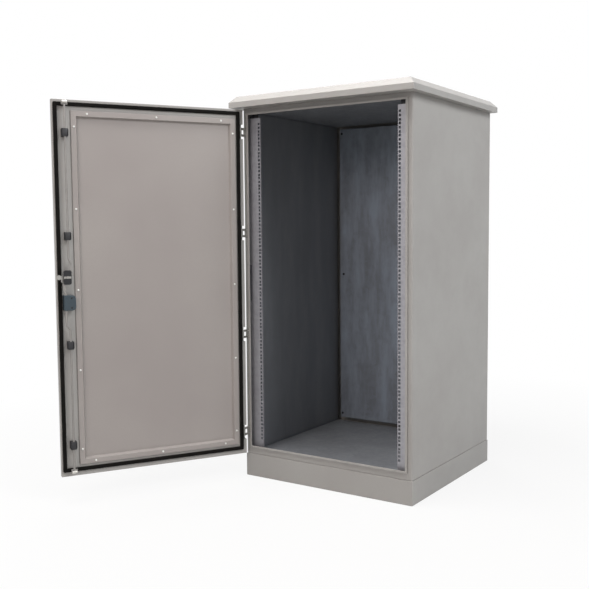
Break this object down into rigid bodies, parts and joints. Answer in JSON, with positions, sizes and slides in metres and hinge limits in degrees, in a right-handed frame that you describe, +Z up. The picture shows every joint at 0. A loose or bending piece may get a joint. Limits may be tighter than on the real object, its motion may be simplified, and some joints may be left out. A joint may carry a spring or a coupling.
{
  "type": "roadside utility cabinet",
  "caption": "Steel utility cabinet on a plinth with a sloped-edge canopy, hinged door with three-point lock, sealed opening, mounting rails and a mounting plate inside.",
  "frame": {"origin": "centre of the plinth's base on the ground, which is the centre of the floor anchor pattern", "axes": "+Z up, -Y towards the front where the door is, +X to the right of a viewer facing the front"},
  "size_m": [1.1996, 1.4696, 1.593],
  "materials": {
    "cabinet_paint": "warm light grey powder coat",
    "galvanised": "hot-dip galvanised sheet, dull",
    "rail_zinc": "bright zinc-plated rail",
    "zinc_fixing": "zinc-plated fixing",
    "black_steel": "black passivated steel",
    "black_plastic": "black moulded plastic",
    "gasket_foam": "black foamed seal",
    "roller_white": "white moulded plastic",
    "lock_grey": "blue-grey moulded plastic",
    "brass_lock": "brass cylinder"
  },
  "bodies": {
    "cabinet": {"plinth_front": "cabinet_paint", "plinth_rear": "cabinet_paint", "plinth_left": "cabinet_paint", "plinth_right": "cabinet_paint", "plinth_bolts": "zinc_fixing", "left_side_panel": "cabinet_paint", "right_side_panel": "cabinet_paint", "rear_panel": "cabinet_paint", "top_panel": "cabinet_paint", "bottom_panel": "cabinet_paint", "front_member_top": "cabinet_paint", "front_member_bottom": "cabinet_paint", "canopy": "cabinet_paint", "canopy_bolts": "zinc_fixing", "left_side_liner": "galvanised", "right_side_liner": "galvanised", "ceiling_liner": "galvanised", "floor_liner": "galvanised", "mounting_plate": "galvanised", "plate_spacers": "zinc_fixing", "plate_bolts": "black_steel", "rack_rail_left": "rail_zinc", "rack_rail_right": "rail_zinc", "rail_brackets": "black_steel", "hinge_frame_leaves": "zinc_fixing", "hinge_pins": "zinc_fixing", "hinge_screws": "zinc_fixing"},
    "door": {"door_skin": "cabinet_paint", "door_liner": "cabinet_paint", "door_gasket": "gasket_foam", "liner_screws": "zinc_fixing", "rod_guides": "black_plastic", "hinge_door_leaves": "zinc_fixing", "spindle_bearing": "black_plastic", "handle_base": "black_plastic", "lock_cylinder": "brass_lock", "lock_box": "lock_grey", "lock_box_screws": "black_steel"},
    "handle": {"handle_hub": "black_plastic", "lock_spindle": "zinc_fixing", "lock_tongue": "zinc_fixing", "lock_crank": "black_steel", "spindle_bolt": "zinc_fixing", "lever_pin": "zinc_fixing"},
    "lever": {"lever": "black_plastic"},
    "plug": {"cylinder_plug": "brass_lock"},
    "rod_up": {"upper_rod": "zinc_fixing", "upper_roller_pin": "zinc_fixing"},
    "rod_down": {"lower_rod": "zinc_fixing", "lower_roller_pin": "zinc_fixing"},
    "roller_up": {"upper_roller": "roller_white"},
    "roller_down": {"lower_roller": "roller_white"}
  },
  "joints": [
    {"name": "door_hinge", "type": "hinge", "parent": "cabinet", "child": "door", "pos_m": [-0.385, -0.4035, 0.822], "axis": [0, 0, 1], "range_deg": [-10.3, 119.7]},
    {"name": "handle_turn", "type": "hinge", "parent": "door", "child": "handle", "pos_m": [-0.74265, -1.0376, 0.874], "axis": [-0.8686, 0.4955, 0], "range_deg": [0, 90]},
    {"name": "lever_lift", "type": "hinge", "parent": "handle", "child": "lever", "pos_m": [-0.7691, -1.02251, 0.874], "axis": [0.4955, 0.8686, 0], "range_deg": [0, 30]},
    {"name": "rod_up_slide", "type": "slide", "parent": "door", "child": "rod_up", "axis": [0, 0, -1], "range_m": [0, 0.02405]},
    {"name": "rod_down_slide", "type": "slide", "parent": "door", "child": "rod_down", "axis": [0, 0, 1], "range_m": [0, 0.02405]},
    {"name": "roller_up_spin", "type": "hinge", "parent": "rod_up", "child": "roller_up", "pos_m": [-0.71294, -1.04706, 1.529], "axis": [-0.4955, -0.8686, 0], "continuous": true},
    {"name": "roller_down_spin", "type": "hinge", "parent": "rod_down", "child": "roller_down", "pos_m": [-0.71294, -1.04706, 0.125], "axis": [-0.4955, -0.8686, 0], "continuous": true},
    {"name": "key_turn", "type": "hinge", "parent": "door", "child": "plug", "pos_m": [-0.75134, -1.03264, 0.779], "axis": [-0.8686, 0.4955, 0], "range_deg": [0, 90]}
  ],
  "couplings": [
    {"joint": "rod_up_slide", "follows": "handle_turn", "m_per_rad": 0.015305},
    {"joint": "rod_down_slide", "follows": "handle_turn", "m_per_rad": 0.015305}
  ]
}
